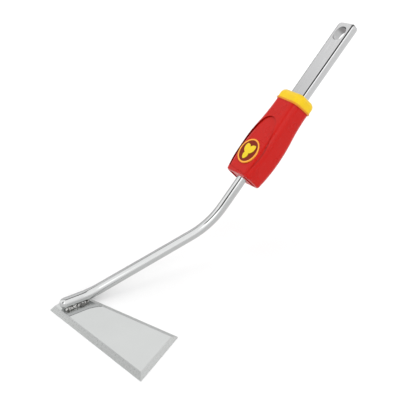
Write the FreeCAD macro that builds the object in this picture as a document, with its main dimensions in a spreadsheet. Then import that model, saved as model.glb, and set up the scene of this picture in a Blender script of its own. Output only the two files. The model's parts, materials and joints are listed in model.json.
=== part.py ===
import FreeCAD, Part
import math
import os
import Sketcher

# A click-in weeding hoe head. Millimetres, +Z up, the blade's underside on Z = 0.
# The handle plane is Y = 0: the shank runs from the foot (near X = 0) up towards +X.
# The origin is on the blade's underside below the middle of the shank's foot.
# "Station" means the distance along the handle line, from the corner where it meets the lower shank.

Vector = FreeCAD.Vector

SIZES = [
    ("heel_width", 35.5, "blade: width of its narrow end"),
    ("front_edge", 141.2, "blade: length of its front cutting edge"),
    ("flare_angle", 10.7, "blade: angle between the front and rear edges"),
    ("blade_thick", 2.0, "blade: plate thickness"),
    ("bevel_drop", 1.5, "blade: height of the ground bevels"),
    ("front_bevel", 6.3, "blade: width of the bevel on the front edge"),
    ("far_bevel", 5.2, "blade: width of the bevel on the far edge"),
    ("rear_bevel", 4.3, "blade: width of the bevel on the rear edge"),
    ("skew_angle", 22.5, "blade: heading of the narrow end from +X"),
    ("heel_x", -23.6, "blade: X of the heel's front corner"),
    ("heel_y", 1.9, "blade: Y of the heel's front corner"),
    ("shank_dia", 12.0, "shank: bar diameter"),
    ("foot_length", 29.0, "shank: from the foot's corner to the centre of its round toe"),
    ("foot_heading", 7.0, "shank: heading of the foot from the handle plane"),
    ("foot_corner", 20.8, "shank: X where the foot meets the rising bar"),
    ("shank_rise", 18.1, "shank: slope of the lower bar"),
    ("bend_x", 167.2, "shank: X of the bend's corner"),
    ("handle_rise", 50.75, "shank: slope of the handle line"),
    ("foot_radius", 60.0, "shank: radius of the bend above the foot"),
    ("bend_radius", 88.0, "shank: radius of the long bend"),
    ("weld_blob", 2.5, "welds: radius of one blob of the foot's beads"),
    ("weld_pitch", 2.4, "welds: step between blobs"),
    ("bar_end", 122.0, "station of the shank's upper end"),
    ("tang_start", 92.0, "station of the tang's forked end"),
    ("tang_end", 271.1, "station of the tang's tip"),
    ("tang_wide", 24.0, "tang: width"),
    ("tang_thick", 10.2, "tang: thickness"),
    ("tang_edge", 2.7, "tang: radius of its long edges"),
    ("tip_radius", 4.0, "tang: radius of the tip's corners"),
    ("slot_wide", 15.2, "latch slot: width"),
    ("slot_long", 17.0, "latch slot: length end to end"),
    ("slot_centre", 257.2, "station of the latch slot's middle"),
    ("joint_blob", 1.7, "tang welds: radius of one blob"),
    ("grip_start", 60.0, "station where the grip's outlines start"),
    ("hem_station", 65.2, "station where the open end crosses the handle line"),
    ("hem_tilt", 10.4, "grip: slope of the open end"),
    ("hem_turn", 40.0, "grip: turn of that slope from the badge side towards the near side"),
    ("grip_end", 164.1, "station of the grip's upper end"),
    ("palm_station", 100.0, "station of the grip's fullest section"),
    ("turn_station", 130.0, "station where the grip's sides turn from full to hollow"),
    ("hem_wide", 41.0, "grip: width at the open end"),
    ("palm_wide", 46.6, "grip: width at the fullest section"),
    ("neck_wide", 38.0, "grip: width at the upper end"),
    ("hem_thick", 28.0, "grip: thickness at the open end"),
    ("palm_thick", 33.4, "grip: thickness at the fullest section"),
    ("neck_thick", 29.0, "grip: thickness at the upper end"),
    ("grip_corner", 9.0, "grip: radius of the long edges"),
    ("collar_corner", 9.0, "collar: corner radius"),
    ("hem_radius", 2.6, "grip: radius round the open end"),
    ("hollow_wide", 8.0, "grip: width of each open hollow"),
    ("hollow_thick", 20.0, "grip: height of each open hollow"),
    ("hollow_offset", 13.5, "grip: hollow's middle from the bar's middle"),
    ("hollow_deep", 29.0, "grip: depth of each open hollow"),
    ("joint_start", 88.0, "station of the pocket round the welded joint"),
    ("joint_wide", 25.0, "grip: width of that pocket"),
    ("joint_thick", 14.0, "grip: height of that pocket"),
    ("spigot_start", 120.0, "station of the spigot's lower end"),
    ("spigot_wide", 29.0, "collar spigot: width"),
    ("spigot_thick", 20.0, "collar spigot: thickness"),
    ("lip_high", 2.0, "collar: height of the lip against the grip"),
    ("lip_proud", 0.4, "collar: how far the lip stands out"),
    ("collar_wide", 39.4, "collar: width"),
    ("collar_thick", 29.6, "collar: thickness"),
    ("collar_end", 177.6, "station of the collar's shoulder"),
    ("collar_round", 6.8, "collar: radius of its upper edge"),
    ("pin_station", 143.0, "station of the roll pin"),
    ("pin_dia", 4.0, "roll pin: diameter"),
    ("pin_wall", 0.8, "roll pin: wall"),
    ("pin_gap", 1.1, "roll pin: width of its slit"),
    ("badge_station", 95.2, "station of the badge's middle"),
    ("badge_level", 15.3, "height of the badge's seat plane above the handle line"),
    ("badge_tilt", 2.5, "slope of the badge towards the tip"),
    ("panel_top", 141.9, "station of the thumb panel's crown"),
    ("panel_middle", 98.6, "station where the panel's sides are parallel"),
    ("panel_foot", 70.6, "station where the panel ends"),
    ("panel_crown", 14.0, "thumb panel: radius of its crown"),
    ("panel_side", 75.0, "thumb panel: radius of its sides"),
    ("panel_deep", 1.5, "thumb panel: depth at the palm and above"),
    ("badge_radius", 15.2, "badge: outer radius of the ring"),
    ("ring_wide", 1.9, "badge: width of the ring"),
    ("ring_high", 1.2, "badge: height of the ring above the seat plane"),
    ("seat_deep", 1.2, "badge: depth of its seat below the seat plane"),
    ("field_high", 0.7, "badge: height of the field above the seat plane"),
    ("leaf_high", 0.5, "badge: height of the leaf above the field"),
]

def make_sheet(doc):
    """The driving dimensions, one named cell each."""
    sheet = doc.addObject("Spreadsheet::Sheet", "Sizes")
    for row, (alias, value, note) in enumerate(SIZES, 1):
        sheet.set("A%d" % row, note)
        sheet.set("B%d" % row, str(value))
        sheet.setAlias("B%d" % row, alias)
    doc.recompute()
    return sheet


doc = FreeCAD.newDocument("hoe_head")
sheet = make_sheet(doc)


def size(alias):
    return float(sheet.get(alias))


def sized(expression):
    """The expression with every cell's alias pointed at the sheet."""
    names = [row[0] for row in SIZES]
    words = expression.replace("/", " / ").split()
    return " ".join("Sizes." + word if word in names else word for word in words)


# ---------------------------------------------------------------- frames

def slope(angle):
    return Vector(math.cos(math.radians(angle)), 0, math.sin(math.radians(angle)))


FOOT_CORNER = Vector(size("foot_corner"), 0, size("blade_thick") + size("shank_dia") / 2)
BEND_RUN = size("bend_x") - size("foot_corner")
BEND_CORNER = FOOT_CORNER + Vector(BEND_RUN, 0, BEND_RUN * math.tan(math.radians(size("shank_rise"))))
HANDLE = slope(size("handle_rise"))


def handle_frame():
    """Local z runs along the handle line from the bend's corner, local y points to the badge side."""
    front = Vector(-HANDLE.z, 0, HANDLE.x)
    return FreeCAD.Placement(BEND_CORNER, FreeCAD.Rotation(Vector(0, 1, 0), front, HANDLE, "ZXY"))


def blade_frame():
    """Local x runs along the narrow end from its front corner, local -y along the front edge."""
    corner = Vector(size("heel_x"), size("heel_y"), 0)
    return FreeCAD.Placement(corner, FreeCAD.Rotation(Vector(0, 0, 1), size("skew_angle")))


def foot_frame():
    """Local x runs along the foot, towards the toe when negative, at the blade's upper face."""
    corner = Vector(size("foot_corner"), 0, size("blade_thick"))
    return FreeCAD.Placement(corner, FreeCAD.Rotation(Vector(0, 0, 1), size("foot_heading")))


# ---------------------------------------------------------------- bodies and sketches

def new_body(label, frame):
    body = doc.addObject("PartDesign::Body", label)
    body.Label = label
    body.Placement = frame
    return body


def origin_plane(body, role):
    return [feature for feature in body.Origin.OriginFeatures if feature.Role == role][0]


def new_sketch(body, name, role="XY_Plane", lift=None):
    """A sketch on one of the body's own planes, moved along the plane's normal by a sheet expression."""
    sketch = body.newObject("Sketcher::SketchObject", name)
    sketch.AttachmentSupport = (origin_plane(body, role), [""])
    sketch.MapMode = "FlatFace"
    if lift:
        sketch.setExpression("AttachmentOffset.Base.z", sized(lift))
    return sketch


def bind(sketch, kind, *where, to):
    """A dimension constraint of the sketch, driven by the sheet."""
    index = sketch.addConstraint(Sketcher.Constraint(kind, *where))
    sketch.setExpression("Constraints[%d]" % index, sized(to))


def evaluate(expression):
    """The value of a sheet expression made of sums, products and quotients."""
    names = {row[0]: size(row[0]) for row in SIZES}
    total = 0.0
    for term in expression.replace("-", "+-").split("+"):
        words = term.replace("/", " / ").replace("*", " * ").replace("-", " -1 * ").split()
        if not words:
            continue
        value, divide = 1.0, False
        for word in words:
            if word in "*/":
                divide = word == "/"
                continue
            number = names[word] if word in names else float(word)
            value = value / number if divide else value * number
            divide = False
        total += value
    return total


def circle(sketch, diameter, centre=(0.0, 0.0)):
    radius = evaluate(diameter) / 2
    index = sketch.addGeometry(Part.Circle(Vector(centre[0], centre[1], 0), Vector(0, 0, 1), radius))
    bind(sketch, "Diameter", index, evaluate(diameter), to=diameter)
    if centre == (0.0, 0.0):
        sketch.addConstraint(Sketcher.Constraint("Coincident", index, 3, -1, 1))
    return index


def rounded_rectangle(sketch, wide, high, corner, shift=None, rise=None):
    """Four sides and four tangent arcs. shift and rise move the middle along the sketch's x and y."""
    half_w, half_h, r = evaluate(wide) / 2, evaluate(high) / 2, evaluate(corner)
    mid_x = evaluate(shift) if shift else 0.0
    mid_y = evaluate(rise) if rise else 0.0
    first = sketch.GeometryCount
    corners = [(1, 1), (-1, 1), (-1, -1), (1, -1)]
    for quarter, (sx, sy) in enumerate(corners):
        centre = Vector(mid_x + sx * (half_w - r), mid_y + sy * (half_h - r), 0)
        arc = Part.ArcOfCircle(
            Part.Circle(centre, Vector(0, 0, 1), r), quarter * math.pi / 2, (quarter + 1) * math.pi / 2
        )
        sketch.addGeometry(arc)
    for quarter in range(4):
        start = sketch.Geometry[first + quarter].EndPoint
        end = sketch.Geometry[first + (quarter + 1) % 4].StartPoint
        sketch.addGeometry(Part.LineSegment(start, end))
    for quarter in range(4):
        arc, line, after = first + quarter, first + 4 + quarter, first + (quarter + 1) % 4
        sketch.addConstraint(Sketcher.Constraint("Tangent", arc, 2, line, 1))
        sketch.addConstraint(Sketcher.Constraint("Tangent", line, 2, after, 1))
        direction = "Horizontal" if quarter % 2 == 0 else "Vertical"
        sketch.addConstraint(Sketcher.Constraint(direction, line))
    for quarter in range(1, 4):
        sketch.addConstraint(Sketcher.Constraint("Equal", first, first + quarter))
    bind(sketch, "Radius", first, r, to=corner)
    top, left, bottom, right = (first + 4 + quarter for quarter in range(4))
    bind(sketch, "DistanceX", left, 1, right, 1, 2 * half_w, to=wide)
    bind(sketch, "DistanceY", bottom, 1, top, 1, 2 * half_h, to=high)
    if not shift and not rise:
        sketch.addConstraint(Sketcher.Constraint("Symmetric", first, 3, first + 2, 3, -1, 1))
        return
    bind(sketch, "DistanceX", -1, 1, left, 1, mid_x - half_w, to="%s - %s/2" % (shift or "0", wide))
    bind(sketch, "DistanceY", -1, 1, bottom, 1, mid_y - half_h, to="%s - %s/2" % (rise or "0", high))


def pad(body, sketch, length, both_ways=False):
    feature = body.newObject("PartDesign::Pad", sketch.Name + "_pad")
    feature.Profile = sketch
    feature.Midplane = both_ways
    feature.setExpression("Length", sized(length))
    return feature


def cut(body, sketch, length=None, both_ways=False, backwards=False):
    """A pocket that must remove material, so the volume is compared before and after."""
    doc.recompute()
    before = body.Shape.Volume
    feature = body.newObject("PartDesign::Pocket", sketch.Name + "_cut")
    feature.Profile = sketch
    feature.Midplane = both_ways
    feature.Reversed = backwards
    if length:
        feature.setExpression("Length", sized(length))
    else:
        feature.Type = "ThroughAll"
    doc.recompute()
    if body.Shape.Volume > before - 0.01:
        raise RuntimeError(feature.Label + " cuts nothing")
    return feature


def edges_on(shape, point, normal, within=0.01):
    """Names of the edges that lie in a plane."""
    names = []
    for index, edge in enumerate(shape.Edges, 1):
        places = edge.discretize(5)
        if all(abs((place - point).dot(normal)) < within for place in places):
            names.append("Edge%d" % index)
    return names


def edges_at(shape, level):
    """Names of the edges in the plane at this local Z."""
    return edges_on(shape, Vector(0, 0, level), Vector(0, 0, 1))


def round_edges(body, name, base, names, radius):
    """A fillet; the radius is a sheet expression."""
    fillet = body.newObject("PartDesign::Fillet", name)
    fillet.Base = (base, names)
    fillet.setExpression("Radius", sized(radius))
    return fillet


def local_shape(feature):
    """The feature's shape in its body's own frame."""
    doc.recompute()
    return feature.Shape


# ---------------------------------------------------------------- blade

def blade_corners():
    """Heel's front corner, far front, far rear and heel's rear corner, in the blade's frame."""
    flare = math.radians(size("flare_angle"))
    rear = Vector(math.sin(flare), -math.cos(flare), 0)
    far_front, heel_rear = Vector(0, -size("front_edge"), 0), Vector(size("heel_width"), 0, 0)
    return [Vector(0, 0, 0), far_front, heel_rear + rear * (far_front - heel_rear).dot(rear), heel_rear]


def blade_outline(sketch):
    """Narrow end along x, front edge square to it, rear edge flared, far end square to the rear edge."""
    points = blade_corners()
    for index in range(4):
        sketch.addGeometry(Part.LineSegment(points[index], points[(index + 1) % 4]))
    for index in range(4):
        sketch.addConstraint(Sketcher.Constraint("Coincident", index, 2, (index + 1) % 4, 1))
    front_line, far_line, rear_line, heel_line = range(4)
    sketch.addConstraint(Sketcher.Constraint("Coincident", front_line, 1, -1, 1))
    sketch.addConstraint(Sketcher.Constraint("Vertical", front_line))
    sketch.addConstraint(Sketcher.Constraint("Horizontal", heel_line))
    sketch.addConstraint(Sketcher.Constraint("Perpendicular", far_line, rear_line))
    bind(sketch, "DistanceY", front_line, 2, front_line, 1, size("front_edge"), to="front_edge")
    bind(sketch, "DistanceX", heel_line, 2, heel_line, 1, size("heel_width"), to="heel_width")
    # from the front edge to the rear edge, both run towards the heel
    flare = math.radians(size("flare_angle"))
    bind(sketch, "Angle", front_line, 2, rear_line, 1, flare, to="flare_angle * 1 deg")


def make_blade():
    body = new_body("blade", blade_frame())
    outline = new_sketch(body, "blade_outline")
    blade_outline(outline)
    last = pad(body, outline, "blade_thick")
    corners = blade_corners()
    for index, run in enumerate(("front_bevel", "far_bevel", "rear_bevel")):
        last = grind(body, last, corners[index], corners[index + 1], run)
    return body


def grind(body, base, start, end, run):
    """One ground bevel along the top edge from start to end."""
    shape = local_shape(base)
    along = (end - start).normalize()
    outward = along.cross(Vector(0, 0, 1))
    level = Vector(0, 0, size("blade_thick"))
    side = edges_on(shape, start, outward)
    top = edges_on(shape, level, Vector(0, 0, 1))
    bevel = body.newObject("PartDesign::Chamfer", run + "_cut")
    bevel.Base = (base, [name for name in side if name in top])
    bevel.ChamferType = "Two distances"
    bevel.setExpression("Size", sized("bevel_drop"))
    bevel.setExpression("Size2", sized(run))
    near_face = start + (end - start) * 0.5 + level - outward * (size(run) - 0.3) - Vector(0, 0, 0.02)
    for flipped in (False, True):
        bevel.FlipDirection = flipped
        doc.recompute()
        done = "Invalid" not in bevel.State and not bevel.Shape.isNull()
        if done and not bevel.Shape.isInside(near_face, 0.001, True):
            return bevel
    raise RuntimeError(run + " isn't ground on the blade's face")


# ---------------------------------------------------------------- shank

def rounded_path(points, radii):
    """A wire of straight runs joined by tangent arcs, one radius for each inner point."""
    edges = []
    start = points[0]
    for corner, after, radius in zip(points[1:-1], points[2:], radii):
        into = (corner - start).normalize()
        out = (after - corner).normalize()
        half_turn = into.getAngle(out) / 2
        reach = radius * math.tan(half_turn)
        arc_start, arc_end = corner - into * reach, corner + out * reach
        inward = (out - into).normalize()
        middle = corner + inward * (radius / math.cos(half_turn) - radius)
        edges.append(Part.LineSegment(start, arc_start).toShape())
        edges.append(Part.Arc(arc_start, middle, arc_end).toShape())
        start = arc_end
    edges.append(Part.LineSegment(start, points[-1]).toShape())
    return Part.Wire(edges)


def make_shank():
    """A round bar: a level foot with a domed toe, a gentle rise, a long bend, and the handle line."""
    radius = size("shank_dia") / 2
    foot_way = foot_frame().Rotation.multVec(Vector(1, 0, 0))
    toe = FOOT_CORNER - foot_way * size("foot_length")
    upper_end = BEND_CORNER + HANDLE * size("bar_end")
    path = doc.addObject("Part::Feature", "shank_path")
    path.Shape = rounded_path(
        [toe, FOOT_CORNER, BEND_CORNER, upper_end], [size("foot_radius"), size("bend_radius")]
    )
    section = doc.addObject("Part::Circle", "shank_section")
    section.setExpression("Radius", "Sizes.shank_dia / 2")
    section.Placement = FreeCAD.Placement(toe, FreeCAD.Rotation(Vector(0, 0, 1), foot_way))
    bar = doc.addObject("Part::Sweep", "shank_bar")
    bar.Sections = [section]
    bar.Spine = (path, ["Edge%d" % (index + 1) for index in range(len(path.Shape.Edges))])
    bar.Solid = True
    dome = doc.addObject("Part::Sphere", "shank_toe")
    dome.setExpression("Radius", "Sizes.shank_dia / 2")
    dome.Placement.Base = toe
    shank = doc.addObject("Part::MultiFuse", "shank")
    shank.Shapes = [bar, dome]
    shank.Refine = True
    doc.recompute()
    expected = math.pi * radius**2 * path.Shape.Length
    if abs(bar.Shape.Volume / expected - 1) > 0.01:
        raise RuntimeError("the shank's sweep has the wrong volume")
    return shank


# ---------------------------------------------------------------- welds

def bead(name, frame, places, radius, tools):
    """A run of overlapping weld blobs, trimmed where it meets the pieces it joins."""
    blobs = []
    for index, (place, scale) in enumerate(places):
        blob = doc.addObject("Part::Sphere", "%s_blob%d" % (name, index))
        blob.setExpression("Radius", "Sizes.%s * %s" % (radius, scale))
        blob.Placement.Base = frame.multVec(place)
        blobs.append(blob)
    run = doc.addObject("Part::MultiFuse", name + "_run")
    run.Shapes = blobs
    trimmed = run
    for index, tool in enumerate(tools):
        after = doc.addObject("Part::Cut", "%s_trim%d" % (name, index))
        after.Base = trimmed
        after.Tool = tool
        trimmed = after
    return trimmed


def foot_bead(label, side, shank, blade):
    """The fillet weld along one side of the foot: side is -1 for the blade's side, +1 for the other."""
    pitch, across = size("weld_pitch"), size("shank_dia") / 2 - 0.9
    count = int(0.84 * size("foot_length") / pitch)
    places = []
    for index in range(count):
        along = -size("foot_length") + index * pitch
        ripple = 1.0 + 0.10 * math.sin(2.1 * index + side)
        places.append((Vector(along, side * (across + 0.3 * math.sin(1.3 * index)), 1.0), ripple))
    weld = bead(label, foot_frame(), places, "weld_blob", [shank, blade])
    weld.Label = label
    return weld


def make_tang_welds(shank, tang):
    """Four short beads where the bar lies in the tang's fork, two on each face."""
    runs = []
    length = size("bar_end") - size("tang_start")
    count = int(0.8 * length / size("weld_pitch"))
    level = size("tang_thick") / 2 + 0.1
    for face in (1, -1):
        for side in (1, -1):
            places = []
            for index in range(count):
                station = size("tang_start") + 0.1 * length + index * size("weld_pitch")
                places.append((Vector(side * (size("shank_dia") / 2 - 0.7), face * level, station), 1.0))
            name = "tang_weld%d" % len(runs)
            runs.append(bead(name, handle_frame(), places, "joint_blob", [shank, tang]))
    group = doc.addObject("Part::Compound", "tang_welds")
    group.Label = "tang_welds"
    group.Links = runs
    return group


# ---------------------------------------------------------------- tang

def make_tang():
    """A flat bar: a fork round the shank's end, a latch slot near the tip, rounded long edges."""
    body = new_body("tang", handle_frame())
    side = new_sketch(body, "tang_side", "XZ_Plane")
    half, start, end = size("tang_wide") / 2, size("tang_start"), size("tang_end")
    notch, notch_end = size("shank_dia") / 2, size("bar_end")
    # the outline in the sketch's x (width) and y (station), anticlockwise from the fork's left foot
    points = [
        (-half, start), (-notch, start), (-notch, notch_end), (notch, notch_end),
        (notch, start), (half, start), (half, end), (-half, end),
    ]
    for index, (x, y) in enumerate(points):
        x2, y2 = points[(index + 1) % len(points)]
        side.addGeometry(Part.LineSegment(Vector(x, y, 0), Vector(x2, y2, 0)))
    for index in range(len(points)):
        side.addConstraint(Sketcher.Constraint("Coincident", index, 2, (index + 1) % len(points), 1))
        if index != 4:
            side.addConstraint(Sketcher.Constraint("Horizontal" if index % 2 == 0 else "Vertical", index))
    side.addConstraint(Sketcher.Constraint("Symmetric", 0, 1, 4, 2, -2))
    side.addConstraint(Sketcher.Constraint("Symmetric", 0, 2, 4, 1, -2))
    bind(side, "DistanceX", 6, 2, 6, 1, 2 * half, to="tang_wide")
    bind(side, "DistanceX", 2, 1, 2, 2, 2 * notch, to="shank_dia")
    bind(side, "DistanceY", -1, 1, 0, 1, start, to="tang_start")
    bind(side, "DistanceY", -1, 1, 2, 1, notch_end, to="bar_end")
    bind(side, "DistanceY", -1, 1, 6, 1, end, to="tang_end")
    bar = pad(body, side, "tang_thick", both_ways=True)

    slot = new_sketch(body, "latch_slot", "XZ_Plane")
    rounded_rectangle(slot, "slot_wide", "slot_long", "slot_wide/2 - 0.05", rise="slot_centre")
    cut(body, slot, both_ways=True)

    thumb = new_sketch(body, "pin_hole", "XZ_Plane")
    hole = circle(thumb, "pin_dia", (0.0, size("pin_station")))
    thumb.addConstraint(Sketcher.Constraint("PointOnObject", hole, 3, -2))
    bind(thumb, "DistanceY", -1, 1, hole, 3, size("pin_station"), to="pin_station")
    drilled = cut(body, thumb, both_ways=True)

    tip = round_edges(body, "tip_corners", drilled, tip_edges(local_shape(drilled)), "tip_radius")
    round_edges(body, "long_edges", tip, outer_long_edges(local_shape(tip)), "tang_edge")
    doc.recompute()
    return body


def tip_edges(shape):
    """The two short edges across the thickness at the tip's corners."""
    names = []
    for index, edge in enumerate(shape.Edges, 1):
        box = edge.BoundBox
        at_tip = abs(box.ZMin - size("tang_end")) < 0.01 and box.XLength < 0.01
        if at_tip and abs(box.YLength - size("tang_thick")) < 0.01:
            names.append("Edge%d" % index)
    return names


def outer_long_edges(shape):
    """The four long edges on the tang's sides, and the tip's edges that continue them."""
    names = []
    for index, edge in enumerate(shape.Edges, 1):
        box = edge.BoundBox
        on_face = abs(abs(box.YMin) - size("tang_thick") / 2) < 0.01 and box.YLength < 0.01
        at_side = abs(abs(box.XMin) - size("tang_wide") / 2) < 0.01 and box.XLength < 0.01
        if on_face and at_side:
            names.append("Edge%d" % index)
    return names


# ---------------------------------------------------------------- grip

def swelling_side(hem, palm, neck):
    """Three tangent arcs from the open end to the neck, as (centre, radius, first, last) in x and station.

    The sides are parallel to the handle line at the palm and at the neck."""
    start, full = size("grip_start"), size("palm_station")
    turn, end = size("turn_station"), size("grip_end")
    swell, fall = (palm - hem) / 2, (palm - neck) / 2
    low_radius = ((full - start) ** 2 + swell**2) / (2 * swell)
    both = ((end - full) ** 2 + fall**2) / (2 * fall)
    high_radius = both * (turn - full) / (end - full)
    neck_radius = both - high_radius
    centres = [
        Vector(palm / 2 - low_radius, full, 0),
        Vector(palm / 2 - high_radius, full, 0),
        Vector(neck / 2 + neck_radius, end, 0),
    ]
    meet = centres[1] + (centres[2] - centres[1]).normalize() * high_radius
    ends = [Vector(hem / 2, start, 0), Vector(palm / 2, full, 0), meet, Vector(neck / 2, end, 0)]
    return centres, [low_radius, high_radius, neck_radius], ends


def add_arc(sketch, centre, radius, start, end):
    """An arc run anticlockwise from start to end."""
    angles = [math.atan2(place.y - centre.y, place.x - centre.x) for place in (start, end)]
    if angles[1] < angles[0]:
        angles[1] += 2 * math.pi
    ring = Part.Circle(centre, Vector(0, 0, 1), radius)
    return sketch.addGeometry(Part.ArcOfCircle(ring, *angles))


def swelling_outline(sketch, part, less="0"):
    """The grip's closed outline seen from one side, driven by hem_, palm_ and neck_ cells."""
    cells = ["hem_" + part, "palm_%s - %s" % (part, less), "neck_%s - %s" % (part, less)]
    hem, palm, neck = (evaluate(cell) for cell in cells)
    centres, radii, ends = swelling_side(hem, palm, neck)
    sides = []
    for flip in (1, -1):
        mirror = [Vector(flip * place.x, place.y, 0) for place in centres + ends]
        arcs = []
        for index in range(3):
            first, last = mirror[3 + index], mirror[4 + index]
            if (flip > 0) == (index == 2):
                first, last = last, first
            arcs.append(add_arc(sketch, mirror[index], radii[index], first, last))
        sides.append(arcs)
    right, left = sides
    low, high, top = right
    sketch.addConstraint(Sketcher.Constraint("Tangent", low, 2, high, 1))
    sketch.addConstraint(Sketcher.Constraint("Tangent", high, 2, top, 2))
    for arc, other in zip(right, left):
        sketch.addConstraint(Sketcher.Constraint("Symmetric", arc, 1, other, 2, -2))
        sketch.addConstraint(Sketcher.Constraint("Symmetric", arc, 2, other, 1, -2))
        sketch.addConstraint(Sketcher.Constraint("Equal", arc, other))
    for arc, end, at in ((low, 2, "palm_station"), (top, 1, "grip_end")):
        sketch.addConstraint(Sketcher.Constraint("Horizontal", arc, 3, arc, end))
        bind(sketch, "DistanceY", -1, 1, arc, end, size(at), to=at)
    bind(sketch, "DistanceY", -1, 1, low, 1, size("grip_start"), to="grip_start")
    bind(sketch, "DistanceY", -1, 1, high, 2, size("turn_station"), to="turn_station")
    for arc, end, cell in ((low, 1, cells[0]), (low, 2, cells[1]), (top, 1, cells[2])):
        bind(sketch, "DistanceX", -1, 1, arc, end, evaluate(cell) / 2, to="( %s ) / 2" % cell)
    for arc, other, end in ((low, left[0], 1), (top, left[2], 1)):
        line = sketch.addGeometry(Part.LineSegment(
            sketch.Geometry[arc].StartPoint, sketch.Geometry[other].EndPoint))
        sketch.addConstraint(Sketcher.Constraint("Coincident", line, 1, arc, 1))
        sketch.addConstraint(Sketcher.Constraint("Coincident", line, 2, other, 2))


def slab_below_hem(sketch):
    """The region under the tilted open end, in the section through the badge."""
    reach, low = size("palm_thick"), size("grip_start") - 5
    tilt = math.radians(size("hem_tilt"))
    rise = reach * math.tan(tilt)
    points = [
        Vector(-reach, low, 0), Vector(reach, low, 0),
        Vector(reach, size("hem_station") + rise, 0), Vector(-reach, size("hem_station") - rise, 0),
    ]
    for index in range(4):
        sketch.addGeometry(Part.LineSegment(points[index], points[(index + 1) % 4]))
    for upright in (1, 3):
        sketch.addConstraint(Sketcher.Constraint("Vertical", upright))
    for index in range(4):
        sketch.addConstraint(Sketcher.Constraint("Coincident", index, 2, (index + 1) % 4, 1))
    sketch.addConstraint(Sketcher.Constraint("Symmetric", 0, 1, 0, 2, -2))
    sketch.addConstraint(Sketcher.Constraint("DistanceX", 0, 1, 0, 2, 2 * reach))
    sketch.addConstraint(Sketcher.Constraint("DistanceY", -1, 1, 0, 1, low))
    crossing = sketch.addGeometry(Part.Point(Vector(0, size("hem_station"), 0)))
    sketch.addConstraint(Sketcher.Constraint("PointOnObject", crossing, 1, -2))
    sketch.addConstraint(Sketcher.Constraint("PointOnObject", crossing, 1, 2))
    bind(sketch, "DistanceY", -1, 1, crossing, 1, size("hem_station"), to="hem_station")
    bind(sketch, "Angle", 0, 1, 2, 2, tilt, to="hem_tilt * 1 deg")


def barrel(body, name, less="0"):
    """The grip's outside: its front outline run through, kept where the side outline covers it.

    less is a sheet expression, taken off the palm's and the neck's size."""
    front = new_sketch(body, name + "_front", "XZ_Plane")
    swelling_outline(front, "wide", less)
    pad(body, front, "palm_thick + 2", both_ways=True)
    side = new_sketch(body, name + "_side", "YZ_Plane")
    swelling_outline(side, "thick", less)
    low, high = size("grip_start") - 1, size("grip_end") + 1
    reach = size("palm_thick")
    points = [(-reach, low), (reach, low), (reach, high), (-reach, high)]
    for index, (x, y) in enumerate(points):
        x2, y2 = points[(index + 1) % 4]
        line = side.addGeometry(Part.LineSegment(Vector(x, y, 0), Vector(x2, y2, 0)))
        side.addConstraint(Sketcher.Constraint("Block", line))
    block = cut(body, side, both_ways=True)
    long_ones = [
        "Edge%d" % index for index, edge in enumerate(block.Shape.Edges, 1) if edge.BoundBox.ZLength > 5
    ]
    return round_edges(body, name + "_long", block, long_ones, "grip_corner")


def panel_outline(sketch):
    """An arch: a round crown, two long sides tangent to it, and a straight foot below the badge."""
    crown, side = size("panel_crown"), size("panel_side")
    middle, foot = size("panel_middle"), size("panel_foot")
    crown_centre = Vector(0, size("panel_top") - crown, 0)
    drop = crown_centre.y - middle
    side_centre = Vector(-math.sqrt((side - crown) ** 2 - drop**2), middle, 0)
    meet = crown_centre + (crown_centre - side_centre).normalize() * crown
    low = Vector(side_centre.x + math.sqrt(side**2 - (middle - foot) ** 2), foot, 0)
    mirrored = [Vector(-place.x, place.y, 0) for place in (side_centre, meet, low)]
    top = add_arc(sketch, crown_centre, crown, meet, mirrored[1])
    right = add_arc(sketch, side_centre, side, low, meet)
    left = add_arc(sketch, mirrored[0], side, mirrored[1], mirrored[2])
    base = sketch.addGeometry(Part.LineSegment(mirrored[2], low))
    sketch.addConstraint(Sketcher.Constraint("Tangent", right, 2, top, 1))
    sketch.addConstraint(Sketcher.Constraint("Coincident", top, 2, left, 1))
    sketch.addConstraint(Sketcher.Constraint("Coincident", left, 2, base, 1))
    sketch.addConstraint(Sketcher.Constraint("Coincident", base, 2, right, 1))
    sketch.addConstraint(Sketcher.Constraint("Symmetric", right, 1, left, 2, -2))
    sketch.addConstraint(Sketcher.Constraint("Symmetric", right, 2, left, 1, -2))
    sketch.addConstraint(Sketcher.Constraint("Equal", right, left))
    bind(sketch, "Radius", top, crown, to="panel_crown")
    bind(sketch, "Radius", right, side, to="panel_side")
    bind(sketch, "DistanceY", -1, 1, top, 3, crown_centre.y, to="panel_top - panel_crown")
    bind(sketch, "DistanceY", -1, 1, right, 3, middle, to="panel_middle")
    bind(sketch, "DistanceY", -1, 1, right, 1, foot, to="panel_foot")


def make_panel_tool():
    """What the thumb panel removes: an arch on the badge side, less a slightly smaller barrel."""
    arch = new_body("panel_arch", handle_frame())
    outline = new_sketch(arch, "panel_outline", "XZ_Plane")
    panel_outline(outline)
    pad(arch, outline, "palm_thick").Reversed = True
    core = new_body("panel_core", handle_frame())
    barrel(core, "core", "2 * panel_deep")
    tool = doc.addObject("Part::Cut", "panel_tool")
    tool.Base, tool.Tool = arch, core
    return tool


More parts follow.
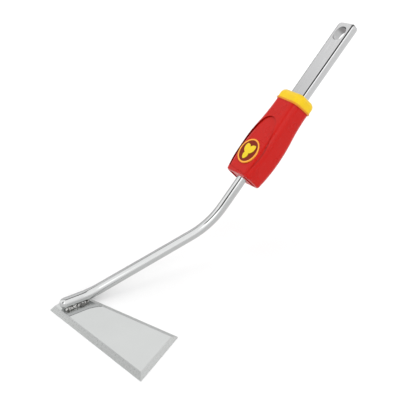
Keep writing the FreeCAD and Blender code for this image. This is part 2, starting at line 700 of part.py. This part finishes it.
def make_grip():
    body = new_body("grip_shell", handle_frame())
    rounded = barrel(body, "barrel")
    hem = new_sketch(body, "open_end", "YZ_Plane")
    hem.AttachmentOffset = FreeCAD.Placement(Vector(), FreeCAD.Rotation(Vector(0, 1, 0), size("hem_turn")))
    slab_below_hem(hem)
    trimmed = cut(body, hem, both_ways=True)
    tilt, turn = math.radians(size("hem_tilt")), math.radians(size("hem_turn"))
    normal = Vector(math.sin(turn) * math.sin(tilt), -math.cos(turn) * math.sin(tilt), math.cos(tilt))
    plane = Vector(0, 0, size("hem_station")), normal
    round_edges(body, "hem_round", trimmed, edges_on(trimmed.Shape, *plane), "hem_radius")
    doc.recompute()

    bore = new_sketch(body, "bar_bore", lift="grip_start")
    circle(bore, "shank_dia")
    cut(body, bore, "joint_start - grip_start", backwards=True)
    for side, name in (("", "far_hollow"), ("0 - ", "near_hollow")):
        hollow = new_sketch(body, name, lift="grip_start")
        rounded_rectangle(hollow, "hollow_wide", "hollow_thick", "hollow_wide / 2 - 0.5", side + "hollow_offset")
        cut(body, hollow, "hollow_deep", backwards=True)
    joint = new_sketch(body, "joint_pocket", lift="joint_start")
    rounded_rectangle(joint, "joint_wide", "joint_thick", "joint_thick / 4")
    cut(body, joint, "spigot_start - joint_start", backwards=True)
    socket = new_sketch(body, "spigot_socket", lift="spigot_start")
    rounded_rectangle(socket, "spigot_wide", "spigot_thick", "spigot_thick / 5")
    cut(body, socket, "grip_end - spigot_start + 1", backwards=True)

    seat = body.newObject("Sketcher::SketchObject", "badge_seat")
    seat.AttachmentSupport = (origin_plane(body, "XY_Plane"), [""])
    seat.MapMode = "FlatFace"
    seat.AttachmentOffset = badge_plane(-size("seat_deep"))
    circle(seat, "badge_radius + badge_radius")
    cut(body, seat, "badge_radius", backwards=True)

    grip = doc.addObject("Part::Cut", "grip")
    grip.Label = "grip"
    grip.Base, grip.Tool = body, make_panel_tool()
    return grip


def badge_plane(level=0.0):
    """The badge's plane in the handle's frame: local y along the grip, local z out of the badge."""
    tilt = math.radians(size("badge_tilt"))
    out = Vector(0, math.cos(tilt), math.sin(tilt))
    up = Vector(0, -math.sin(tilt), math.cos(tilt))
    middle = Vector(0, size("badge_level"), size("badge_station")) + out * level
    return FreeCAD.Placement(middle, FreeCAD.Rotation(up.cross(out), up, out, "ZXY"))


# ---------------------------------------------------------------- collar

def make_collar():
    """The yellow collar: a spigot inside the grip, a lip against it, and a rounded shoulder."""
    body = new_body("collar", handle_frame())
    spigot = new_sketch(body, "spigot", lift="spigot_start")
    rounded_rectangle(spigot, "spigot_wide", "spigot_thick", "spigot_thick/5")
    pad(body, spigot, "grip_end - spigot_start + lip_high")
    head = new_sketch(body, "head", lift="grip_end")
    rounded_rectangle(head, "collar_wide", "collar_thick", "collar_corner")
    top = pad(body, head, "collar_end - grip_end")
    shoulder = body.newObject("PartDesign::Fillet", "shoulder_round")
    shoulder.Base = (top, edges_at(local_shape(top), size("collar_end")))
    shoulder.setExpression("Radius", sized("collar_round"))
    lip = new_sketch(body, "lip", lift="grip_end")
    proud = " + lip_proud + lip_proud"
    rounded_rectangle(lip, "collar_wide" + proud, "collar_thick" + proud, "collar_corner")
    flange = pad(body, lip, "lip_high")
    doc.recompute()
    round_edges(body, "lip_round", flange, lip_edges(local_shape(flange)), "lip_proud * 0.75")
    doc.recompute()

    hole = new_sketch(body, "tang_hole", lift="spigot_start")
    rounded_rectangle(hole, "tang_wide", "tang_thick", "tang_edge")
    cut(body, hole, "collar_end - spigot_start + 1", backwards=True)
    notch = new_sketch(body, "bar_clearance", lift="spigot_start")
    circle(notch, "shank_dia")
    cut(body, notch, "bar_end - spigot_start", backwards=True)
    pin = new_sketch(body, "pin_bore", "XZ_Plane")
    hole = circle(pin, "pin_dia", (0.0, size("pin_station")))
    pin.addConstraint(Sketcher.Constraint("PointOnObject", hole, 3, -2))
    bind(pin, "DistanceY", -1, 1, hole, 3, size("pin_station"), to="pin_station")
    cut(body, pin, both_ways=True)
    return body


def lip_edges(shape):
    """The upper and lower edges of the lip's outer side."""
    low, high = size("grip_end"), size("grip_end") + size("lip_high")
    names = []
    for face in shape.Faces:
        box = face.BoundBox
        if abs(box.ZMin - low) > 0.01 or abs(box.ZMax - high) > 0.01:
            continue
        for edge in face.Edges:
            if edge.BoundBox.ZLength < 0.01:
                names += [
                    "Edge%d" % index for index, other in enumerate(shape.Edges, 1) if other.isSame(edge)
                ]
    return sorted(set(names))


# ---------------------------------------------------------------- roll pin

def make_pin():
    """A slotted spring pin across the spigot and the tang."""
    frame = handle_frame()
    body = new_body("grip_pin", frame)
    section = new_sketch(body, "pin_section", "XZ_Plane", lift="0 - spigot_thick/2")
    outer = size("pin_dia") / 2
    inner = outer - size("pin_wall")
    centre = Vector(0, size("pin_station"), 0)
    axis = Vector(0, 0, 1)
    for radius in (outer, inner):
        gap = math.asin(size("pin_gap") / 2 / radius)
        section.addGeometry(Part.ArcOfCircle(Part.Circle(centre, axis, radius), gap, 2 * math.pi - gap))
    for end in (1, 2):
        place = [getattr(section.Geometry[arc], ("StartPoint", "EndPoint")[end - 1]) for arc in (0, 1)]
        line = section.addGeometry(Part.LineSegment(*place))
        section.addConstraint(Sketcher.Constraint("Coincident", line, 1, 0, end))
        section.addConstraint(Sketcher.Constraint("Coincident", line, 2, 1, end))
    section.addConstraint(Sketcher.Constraint("Coincident", 0, 3, 1, 3))
    section.addConstraint(Sketcher.Constraint("PointOnObject", 0, 3, -2))
    bind(section, "DistanceY", -1, 1, 0, 3, size("pin_station"), to="pin_station")
    for arc in (0, 1):
        for end, side in ((1, 1), (2, -1)):
            rise = side * size("pin_gap") / 2
            bind(section, "DistanceY", arc, 3, arc, end, rise, to="%d * pin_gap / 2" % side)
    bind(section, "Radius", 0, outer, to="pin_dia/2")
    bind(section, "Radius", 1, inner, to="pin_dia/2 - pin_wall")
    pad(body, section, "spigot_thick")
    return body


# ---------------------------------------------------------------- badge

def badge_frame(level=0.0):
    return handle_frame().multiply(badge_plane(level))


def make_badge_field():
    """The disc that lies in the seat, inside the ring."""
    body = new_body("badge_field", badge_frame(-size("seat_deep")))
    disc = new_sketch(body, "field_disc")
    circle(disc, "badge_radius + badge_radius - ring_wide - ring_wide")
    pad(body, disc, "seat_deep + field_high")
    return body


def make_badge_ring():
    body = new_body("badge_ring", badge_frame(-size("seat_deep")))
    ring = new_sketch(body, "ring_section")
    circle(ring, "badge_radius + badge_radius")
    circle(ring, "badge_radius + badge_radius - ring_wide - ring_wide")
    ring_pad = pad(body, ring, "seat_deep + ring_high")
    crown = body.newObject("PartDesign::Fillet", "ring_crown")
    crown.Base = (ring_pad, edges_at(local_shape(ring_pad), size("seat_deep") + size("ring_high")))
    crown.Radius = 0.6
    doc.recompute()
    return body


def leaf_wire(length, wide, lean, base):
    """A pointed leaf of two arcs, from its base, leaning from local +y."""
    way = Vector(math.sin(lean), math.cos(lean), 0)
    across = Vector(way.y, -way.x, 0)
    tip = base + way * length
    middle = base + way * (0.5 * length)
    sides = [
        Part.Arc(base, middle + across * (wide / 2), tip).toShape(),
        Part.Arc(tip, middle - across * (wide / 2), base).toShape(),
    ]
    return Part.Wire(sides)


def make_badge_leaf():
    """A generic sprout: two broad leaves over a rounded lower leaf, raised from the field."""
    radius = size("badge_radius") - size("ring_wide")
    fork = Vector(0, -0.2 * radius, 0)
    faces = [
        Part.Face(leaf_wire(1.0 * radius, 0.68 * radius, math.radians(34), fork)),
        Part.Face(leaf_wire(0.95 * radius, 0.68 * radius, math.radians(-38), fork)),
        Part.Face(leaf_wire(0.85 * radius, 0.62 * radius, math.radians(180), fork + Vector(0, 0.25 * radius, 0))),
    ]
    outline = faces[0].fuse(faces[1:]).removeSplitter()
    leaf = doc.addObject("Part::Feature", "badge_leaf")
    leaf.Label = "badge_leaf"
    leaf.Shape = outline.extrude(Vector(0, 0, size("leaf_high")))
    leaf.Placement = badge_frame(size("field_high"))
    return leaf


# ---------------------------------------------------------------- checks and export

def check_document():
    failed = [item.Name for item in doc.Objects if "Invalid" in item.State or "Error" in item.State]
    if failed:
        raise RuntimeError("failed objects: %s" % failed)


def export(piece):
    shape = piece.Shape
    if shape.isNull() or not shape.isValid() or not shape.Solids:
        raise RuntimeError(piece.Label + " has no valid solid")
    shape.exportStep("parts/%s.step" % piece.Label)
    box = shape.BoundBox
    print("%-16s %d solid(s) %9.1f mm3  x %.1f..%.1f y %.1f..%.1f z %.1f..%.1f" % (
        piece.Label, len(shape.Solids), shape.Volume,
        box.XMin, box.XMax, box.YMin, box.YMax, box.ZMin, box.ZMax))


def build():
    blade = make_blade()
    shank = make_shank()
    tang = make_tang()
    pieces = [
        blade,
        shank,
        foot_bead("foot_weld_near", -1, shank, blade),
        foot_bead("foot_weld_far", 1, shank, blade),
        tang,
        make_tang_welds(shank, tang),
        make_grip(),
        make_collar(),
        make_pin(),
        make_badge_field(),
        make_badge_ring(),
        make_badge_leaf(),
    ]
    doc.recompute()
    check_document()
    os.makedirs("parts", exist_ok=True)
    for piece in pieces:
        export(piece)


build()
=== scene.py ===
"""Looks of the stand-up weeder head: materials, floor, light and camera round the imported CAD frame."""

import json
import math

import bpy
from mathutils import Matrix, Vector

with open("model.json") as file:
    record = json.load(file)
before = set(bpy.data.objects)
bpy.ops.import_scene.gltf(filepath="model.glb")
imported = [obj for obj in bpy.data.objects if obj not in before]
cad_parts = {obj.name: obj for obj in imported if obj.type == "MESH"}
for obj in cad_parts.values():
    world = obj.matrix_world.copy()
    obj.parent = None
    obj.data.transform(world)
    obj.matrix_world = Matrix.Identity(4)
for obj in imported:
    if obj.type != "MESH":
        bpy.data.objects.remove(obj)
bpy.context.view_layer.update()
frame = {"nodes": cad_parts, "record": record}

MOUNTS = {mount["name"]: mount for mount in frame["record"]["mounts"]}
TANG_ROOT = Vector(MOUNTS["handle_tang"]["pos_m"])
HANDLE = Vector(MOUNTS["handle_tang"]["axis"])
HANDLE_TILT = math.atan2(HANDLE.x, HANDLE.z)
BLADE_HEADING = math.radians(-67.5)

# Edges of the painted reflection line, the painted slot shade and the lip colour on the handle (m): where
# each mask is 0 and where it is 1.
# Stations run up the handle line from the collar's shoulder, levels run across it, and depths away from the
# badge side.
LIP_TOP = (-0.0117, -0.0113)
PAINTED_REFLECTION_INNER_LEVEL = (0.0096, 0.0099)
PAINTED_REFLECTION_OUTER_LEVEL = (0.0114, 0.0111)
PAINTED_REFLECTION_DEPTH = (0.0, -0.001)
SLOT_DEPTH = (0.0051, 0.0048)
SLOT_LEVEL = (0.0082, 0.0078)
SLOT_STATION = (0.0905, 0.0895)
SLOT_DARK_STATION = (0.082, 0.0865)

# Their tones. A shade is a part of the metal's own colour; the line's is a painted dark reflection and the
# slot's are painted shade.
PAINTED_REFLECTION_SHADE = 0.08
SLOT_PAINTED_SHADE = 0.86
SLOT_END_PAINTED_SHADE = 0.42
LIP_COLOUR = (0.66, 0.235, 0.01)

# Painted shade in corners and hollows, judged by how much is open within reach (m): in a corner, and on an
# open face.
CREVICE_EDGE = (0.25, 0.85)
PLASTIC_CREVICE_REACH = 0.006
PLASTIC_PAINTED_CREVICE_SHADE = 0.4
WELD_CREVICE_REACH = 0.004


# ---------------------------------------------------------------- materials

class Nodes:
    """Short calls for the nodes of one tree."""

    def __init__(self, tree):
        self.tree = tree

    def add(self, kind, inputs=None, **settings):
        """One node: inputs are values or sockets by name or number."""
        node = self.tree.nodes.new(kind)
        for name, value in settings.items():
            setattr(node, name, value)
        for name, value in (inputs or {}).items():
            if isinstance(value, bpy.types.NodeSocket):
                self.tree.links.new(value, node.inputs[name])
            else:
                node.inputs[name].default_value = value
        return node

    def ramp(self, value, low, high, start=0.0, end=1.0):
        """The value from low..high, clamped and eased over start..end; low may be the higher of the two."""
        inputs = {"Value": value, "From Min": low, "From Max": high, "To Min": start, "To Max": end}
        return self.add("ShaderNodeMapRange", inputs, interpolation_type="SMOOTHSTEP").outputs["Result"]

    def maths(self, operation, first, second=0.0):
        return self.add("ShaderNodeMath", {0: first, 1: second}, operation=operation).outputs[0]

    def all_of(self, first, *others):
        """Product of masks."""
        for other in others:
            first = self.maths("MULTIPLY", first, other)
        return first

    def blend(self, amount, first, second):
        """Values mixed by an amount from 0 to 1."""
        return self.add("ShaderNodeMix", {0: amount, 2: first, 3: second}).outputs[0]

    def parts_of(self, vector):
        """The X, Y and Z of a vector."""
        return self.add("ShaderNodeSeparateXYZ", {0: vector}).outputs


class Surface(Nodes):
    """A material and its one shader."""

    def __init__(self, name, colour, rough, metallic=0.0, specular=0.5):
        self.material = bpy.data.materials.new(name)
        self.material.use_nodes = True
        super().__init__(self.material.node_tree)
        self.shader = self.tree.nodes["Principled BSDF"]
        self.colour = colour
        self.shader.inputs["Base Color"].default_value = (*colour, 1)
        self.shader.inputs["Roughness"].default_value = rough
        self.shader.inputs["Metallic"].default_value = metallic
        self.shader.inputs["Specular IOR Level"].default_value = specular
        self.place = self.add("ShaderNodeTexCoord").outputs["Object"]

    def cells(self, size, turn=(0, 0, 0), centre=(0, 0, 0)):
        """The place in cells of this size (m) along axes turned by these angles."""
        inputs = {"Vector": self.place, "Location": centre, "Rotation": turn, "Scale": size}
        return self.add("ShaderNodeMapping", inputs, vector_type="TEXTURE").outputs["Vector"]

    def noise(self, size, turn=(0, 0, 0), detail=2.0):
        """Noise from 0 to 1 with features of this size (m), one number or three."""
        if not isinstance(size, tuple):
            size = (size, size, size)
        inputs = {"Vector": self.cells(size, turn), "Scale": 1.0, "Detail": detail}
        return self.add("ShaderNodeTexNoise", inputs).outputs["Fac"]

    def mix(self, amount, first, second):
        """Colours mixed by an amount from 0 to 1."""
        node = self.add("ShaderNodeMix", {"Factor": amount}, data_type="RGBA")
        for name, value in (("A", first), ("B", second)):
            socket = [one for one in node.inputs if one.name == name and one.type == "RGBA"][0]
            if isinstance(value, bpy.types.NodeSocket):
                self.tree.links.new(value, socket)
            else:
                socket.default_value = (*value, 1)
        return [one for one in node.outputs if one.type == "RGBA"][0]

    def paint(self, colour):
        self.tree.links.new(colour, self.shader.inputs["Base Color"])

    def dull(self, value):
        self.tree.links.new(value, self.shader.inputs["Roughness"])

    def bump(self, height, depth):
        """Relief of this depth (m) from a height of 0 to 1, over any bump before it."""
        node = self.add("ShaderNodeBump", {"Height": height, "Distance": depth, "Strength": 1.0})
        normal = self.shader.inputs["Normal"]
        if normal.links:
            self.tree.links.new(normal.links[0].from_socket, node.inputs["Normal"])
        self.tree.links.new(node.outputs["Normal"], normal)

    def facing_up(self, low, high):
        """0 on faces that lean, 1 on faces that look straight up or down."""
        normal = self.add("ShaderNodeNewGeometry").outputs["True Normal"]
        return self.ramp(self.maths("ABSOLUTE", self.parts_of(normal)["Z"]), low, high)

    def crevice(self, reach):
        """0 deep in a corner or hollow, 1 on open faces, judged within this reach (m)."""
        node = self.add("ShaderNodeAmbientOcclusion", {"Distance": reach})
        return self.ramp(node.outputs["AO"], *CREVICE_EDGE)

    def handle_place(self):
        """Depth and level from the handle line, and station along it from the collar's shoulder (m)."""
        return self.parts_of(self.cells((1, 1, 1), (0, HANDLE_TILT, 0), TANG_ROOT))


def shade(colour, factor):
    return tuple(min(1.0, part * factor) for part in colour)


def polished_steel():
    """Blade: polished flats with hairline marks, ground bevels and edges."""
    steel = Surface("polished_steel", (0.53, 0.54, 0.535), 0.08, metallic=1.0)
    flat = steel.facing_up(0.985, 0.999)
    along = (0, 0, BLADE_HEADING)
    cloud = steel.noise(0.028, detail=3)
    hairline = steel.noise((0.018, 0.00025, 0.01), along, detail=4)
    across = steel.noise((0.00022, 0.003, 0.01), along, detail=3)
    polished = steel.mix(cloud, shade(steel.colour, 0.97), shade(steel.colour, 1.04))
    ground = steel.mix(across, shade(steel.colour, 0.94), shade(steel.colour, 1.02))
    steel.paint(steel.mix(flat, ground, polished))
    bright = steel.ramp(cloud, 0.35, 0.65, 0.03, 0.07)
    brushed = steel.ramp(across, 0.3, 0.7, 0.26, 0.32)
    steel.dull(steel.blend(flat, brushed, bright))
    steel.bump(hairline, 0.0000015)
    steel.bump(steel.maths("MULTIPLY", across, steel.maths("SUBTRACT", 1.0, flat)), 0.000004)
    return steel.material


def chrome_bar():
    """Bright plate on drawn bar: a faint ripple, a little haze and fine handling marks."""
    chrome = Surface("chrome_bar", (0.47, 0.475, 0.475), 0.05, metallic=1.0)
    haze = chrome.noise(0.012, detail=3)
    marks = chrome.noise((0.0003, 0.0003, 0.012), (0, HANDLE_TILT, 0), detail=3)
    chrome.paint(chrome.mix(haze, shade(chrome.colour, 0.96), shade(chrome.colour, 1.04)))
    chrome.dull(chrome.ramp(haze, 0.3, 0.75, 0.04, 0.11))
    chrome.bump(chrome.noise(0.0035, detail=1), 0.00001)
    chrome.bump(marks, 0.000002)
    return chrome.material


def plated_weld():
    """Weld beads under the plate: uneven, with dull pits between the ripples and painted shade in their
    corners.
    """
    weld = Surface("plated_weld", (0.46, 0.46, 0.45), 0.2, metallic=1.0)
    ripple = weld.noise(0.0024, detail=3)
    pits = weld.ramp(weld.noise(0.0026, detail=3), 0.42, 0.54)
    # Painted shade: the beads are darkened in their corners as well as in the pits.
    pit_and_corner_shade_mask = weld.maths("MULTIPLY", pits, weld.crevice(WELD_CREVICE_REACH))
    weld.paint(weld.mix(pit_and_corner_shade_mask, (0.09, 0.09, 0.085), weld.colour))
    weld.dull(weld.ramp(ripple, 0.3, 0.7, 0.14, 0.4))
    weld.bump(ripple, 0.0012)
    return weld.material


def satin_steel():
    """Tang: satin plate, brushed and rubbed along the handle, with painted shade in the slot and a painted
    dark reflection along the front edges.
    """
    satin = Surface("satin_steel", (0.53, 0.53, 0.535), 0.18, metallic=1.0)
    turn = (0, HANDLE_TILT, 0)
    brush = satin.noise((0.0002, 0.0002, 0.014), turn, detail=4)
    grit = satin.noise(0.0005, detail=2)
    rub = satin.ramp(satin.noise((0.004, 0.004, 0.02), turn, detail=4), 0.55, 0.75)
    tone = satin.mix(brush, shade(satin.colour, 0.92), shade(satin.colour, 1.05))
    tone = satin.mix(satin.maths("MULTIPLY", rub, 0.35), tone, shade(satin.colour, 1.2))
    depth, level, station = satin.handle_place()
    level = satin.maths("ABSOLUTE", level)
    # Painted dark reflection: a near-black line along the front edges stands in for a reflection of dark.
    painted_reflection_line = satin.all_of(
        satin.ramp(level, *PAINTED_REFLECTION_INNER_LEVEL),
        satin.ramp(level, *PAINTED_REFLECTION_OUTER_LEVEL),
        satin.ramp(depth, *PAINTED_REFLECTION_DEPTH),
    )
    tone = satin.mix(painted_reflection_line, tone, shade(satin.colour, PAINTED_REFLECTION_SHADE))
    # Painted shade: the slot's walls are darkened, most towards the slot's end.
    slot_walls = satin.all_of(
        satin.ramp(satin.maths("ABSOLUTE", depth), *SLOT_DEPTH),
        satin.ramp(level, *SLOT_LEVEL),
        satin.ramp(station, *SLOT_STATION),
    )
    toward_slot_end = satin.ramp(station, *SLOT_DARK_STATION)
    painted_slot_shade = satin.mix(toward_slot_end, shade(satin.colour, SLOT_PAINTED_SHADE), shade(satin.colour, SLOT_END_PAINTED_SHADE))
    satin.paint(satin.mix(slot_walls, tone, painted_slot_shade))
    satin.dull(satin.ramp(satin.maths("ADD", brush, grit), 0.7, 1.3, 0.1, 0.2))
    satin.bump(brush, 0.000003)
    satin.bump(grit, 0.000004)
    return satin.material


def moulded(name, colour, rough, specular=0.25):
    """Moulded plastic: fine spark texture, cloudy gloss and light handling scuffs, with painted shade in its
    corners and hollows.
    """
    plastic = Surface(name, colour, rough, specular=specular)
    turn = (0, HANDLE_TILT, 0)
    cloud = plastic.noise(0.016, detail=3)
    grain = plastic.noise(0.00035, detail=2)
    scuff = plastic.ramp(plastic.noise((0.0006, 0.0006, 0.006), turn, detail=5), 0.62, 0.74)
    tone = plastic.mix(cloud, shade(colour, 0.93), shade(colour, 1.05))
    worn = tuple(part + 0.12 * (0.75 - part) for part in colour)
    tone = plastic.mix(plastic.maths("MULTIPLY", scuff, 0.25), tone, worn)
    # Painted shade: corners and hollows of the plastic are darkened.
    open_face = plastic.crevice(PLASTIC_CREVICE_REACH)
    plastic.paint(plastic.mix(open_face, shade(colour, PLASTIC_PAINTED_CREVICE_SHADE), tone))
    gloss = plastic.ramp(cloud, 0.3, 0.7, rough - 0.05, rough + 0.05)
    plastic.dull(plastic.maths("ADD", gloss, plastic.maths("MULTIPLY", scuff, 0.12)))
    plastic.bump(grain, 0.00002)
    plastic.bump(plastic.noise(0.009, detail=1), 0.00003)
    return plastic


def collar_plastic():
    """Yellow moulding whose lip against the grip is a warmer, deeper tone."""
    yellow = moulded("yellow_plastic", (0.75, 0.5, 0.003), 0.34)
    above_lip = yellow.ramp(yellow.handle_place()["Z"], *LIP_TOP)
    colour = yellow.shader.inputs["Base Color"].links[0].from_socket
    yellow.paint(yellow.mix(above_lip, LIP_COLOUR, colour))
    return yellow.material


def dress(material, *names):
    """Gives one material to these nodes, whatever slots they came with."""
    for name in names:
        data = frame["nodes"][name].data
        data.materials.clear()
        data.materials.append(material)


def dress_all():
    dress(polished_steel(), "blade")
    dress(chrome_bar(), "shank")
    dress(plated_weld(), "foot_weld_near", "foot_weld_far")
    dress(satin_steel(), "tang", "tang_welds", "grip_pin")
    dress(moulded("red_plastic", (0.475, 0.006, 0.003), 0.3, specular=0.18).material, "grip")
    dress(collar_plastic(), "collar")
    dress(moulded("amber_plastic", (0.86, 0.37, 0.04), 0.34).material, "badge_ring")
    dress(moulded("dark_red_plastic", (0.19, 0.016, 0.006), 0.5, specular=0.12).material, "badge_field")
    dress(moulded("leaf_yellow_plastic", (0.74, 0.54, 0.01), 0.36).material, "badge_leaf")


# ---------------------------------------------------------------- studio

FLOOR_SIZE = 60.0
FLOOR_LEVEL = -0.0002
SKY_STRENGTH = 2.0

# The far and near halves of the sky: tones by height, from 0 at the horizon to 1 overhead.
FAR_SIDE = Vector((0.45, 0.89, 0.0))
FAR_EDGE = (-0.05, 0.2)
FAR_TONES = (
    (0.0, 0.52),
    (0.1, 0.46),
    (0.27, 0.4),
    (0.48, 0.43),
    (0.6, 0.6),
    (0.73, 0.63),
    (0.82, 0.57),
    (0.9, 0.52),
    (0.97, 0.85),
)
NEAR_TONES = ((0.0, 0.48), (0.25, 0.74), (0.45, 0.84), (1.0, 0.82))

# Areas laid over them. An edge is where an area starts and where it is full, as the part along an axis of the
# direction looked in. A rim is the same, in degrees from the area's middle.
GAP_ACROSS = Vector((0.8, 0.567, -0.197)).normalized()
GAP_EDGE = (0.09, 0.03)
GAP_HEIGHT = (0.7, 0.8)
GAP_TONE = 0.1
OVERHEAD = Vector((0.18, 0.086, 0.98)).normalized()
OVERHEAD_RIM = (11, 6)
OVERHEAD_TONE = 0.1
RIGHT_WALL = {"x": (0.22, 0.42), "y": (0.1, -0.1), "z": (0.93, 0.8)}
RIGHT_WALL_TONE = 0.58
LEFT_WALL = {"x": (-0.5, -0.6), "y": (0.2, 0.35)}
LEFT_WALL_TONE = 0.8
FLAG_MIDDLE = -0.36
FLAG_EDGE = (0.3, 0.2)
FLAG_REACH = {"x": (-0.4, -0.46), "z": (0.34, 0.4)}
FLAG_TONE = 0.04
KEY_SIDE = Vector((-0.45, -0.66, 0.6)).normalized()
KEY_RIM = (19, 8)
KEY_TONE = 1.35

CAMERA_PLACE = (-0.04711, -0.39850, 0.32894)
CAMERA_RIGHT = Vector((0.8927, -0.4506, 0)).normalized()
CAMERA_BACK = Vector((-0.3978, -0.7880, 0.4700)).normalized()
LENS = 40.5
SENSOR_WIDTH = 36


class Sky(Nodes):
    """The world's tones, worked out from the direction that is looked in."""

    def __init__(self):
        world = bpy.data.worlds.new("studio")
        world.use_nodes = True
        bpy.context.scene.world = world
        super().__init__(world.node_tree)
        self.direction = self.add("ShaderNodeTexCoord").outputs["Generated"]
        self.x, self.y, self.z = self.parts_of(self.direction)

    def toward(self, vector):
        """Cosine of the angle to a direction."""
        inputs = {0: vector, 1: self.direction}
        return self.add("ShaderNodeVectorMath", inputs, operation="DOT_PRODUCT").outputs["Value"]

    def disc(self, middle, rim, core):
        """Mask round a direction: 0 beyond rim degrees from it, 1 within core degrees."""
        return self.ramp(self.toward(middle), math.cos(math.radians(rim)), math.cos(math.radians(core)))

    def within(self, **edges):
        """Mask bounded along the axes x, y and z by their edges."""
        return self.all_of(*(self.ramp(getattr(self, axis), *edge) for axis, edge in edges.items()))

    def height_tones(self, tones):
        """Tone by height above the horizon."""
        node = self.add("ShaderNodeValToRGB", {0: self.z})
        stops = node.color_ramp.elements
        while len(stops) < len(tones):
            stops.new(0.5)
        for stop, (place, tone) in zip(stops, tones):
            stop.position = place
            stop.color = (tone, tone, tone, 1)
        return node.outputs[0]


def make_sky():
    """The studio: a far and a near half, then darker and brighter areas, each laid over those before it."""
    sky = Sky()
    far = sky.ramp(sky.toward(FAR_SIDE), *FAR_EDGE)
    tone = sky.blend(far, sky.height_tones(NEAR_TONES), sky.height_tones(FAR_TONES))
    off_gap = sky.maths("ABSOLUTE", sky.toward(GAP_ACROSS))
    off_flag = sky.maths("ABSOLUTE", sky.maths("SUBTRACT", sky.y, FLAG_MIDDLE))
    areas = (
        (sky.all_of(sky.ramp(off_gap, *GAP_EDGE), sky.within(z=GAP_HEIGHT)), GAP_TONE),
        (sky.disc(OVERHEAD, *OVERHEAD_RIM), OVERHEAD_TONE),
        (sky.within(**RIGHT_WALL), RIGHT_WALL_TONE),
        (sky.within(**LEFT_WALL), LEFT_WALL_TONE),
        (sky.all_of(sky.ramp(off_flag, *FLAG_EDGE), sky.within(**FLAG_REACH)), FLAG_TONE),
        (sky.disc(KEY_SIDE, *KEY_RIM), KEY_TONE),
    )
    for mask, area_tone in areas:
        tone = sky.blend(mask, tone, area_tone)
    background = sky.tree.nodes["Background"]
    sky.tree.links.new(tone, background.inputs["Color"])
    background.inputs["Strength"].default_value = SKY_STRENGTH


def make_floor():
    bpy.ops.mesh.primitive_plane_add(size=FLOOR_SIZE, location=(0, 0, FLOOR_LEVEL))
    floor = bpy.context.object
    floor.name = "floor"
    paper = Surface("floor_paper", (0.86, 0.86, 0.86), 0.9, specular=0.0)
    paper.paint(paper.mix(paper.noise(0.05), shade(paper.colour, 0.99), shade(paper.colour, 1.01)))
    floor.data.materials.append(paper.material)


def make_camera():
    """Stands in front of the tool and to its left, looking down at 28 degrees."""
    data = bpy.data.cameras.new("camera")
    data.lens = LENS
    data.sensor_width = SENSOR_WIDTH
    data.clip_start = 0.01
    data.clip_end = 200
    camera = bpy.data.objects.new("camera", data)
    bpy.context.scene.collection.objects.link(camera)
    turn = Matrix((CAMERA_RIGHT, CAMERA_BACK.cross(CAMERA_RIGHT), CAMERA_BACK)).transposed()
    camera.matrix_world = Matrix.Translation(CAMERA_PLACE) @ turn.to_4x4()
    bpy.context.scene.camera = camera


def main():
    bpy.context.scene.view_settings.view_transform = "Standard"
    dress_all()
    make_sky()
    make_floor()
    make_camera()


main()
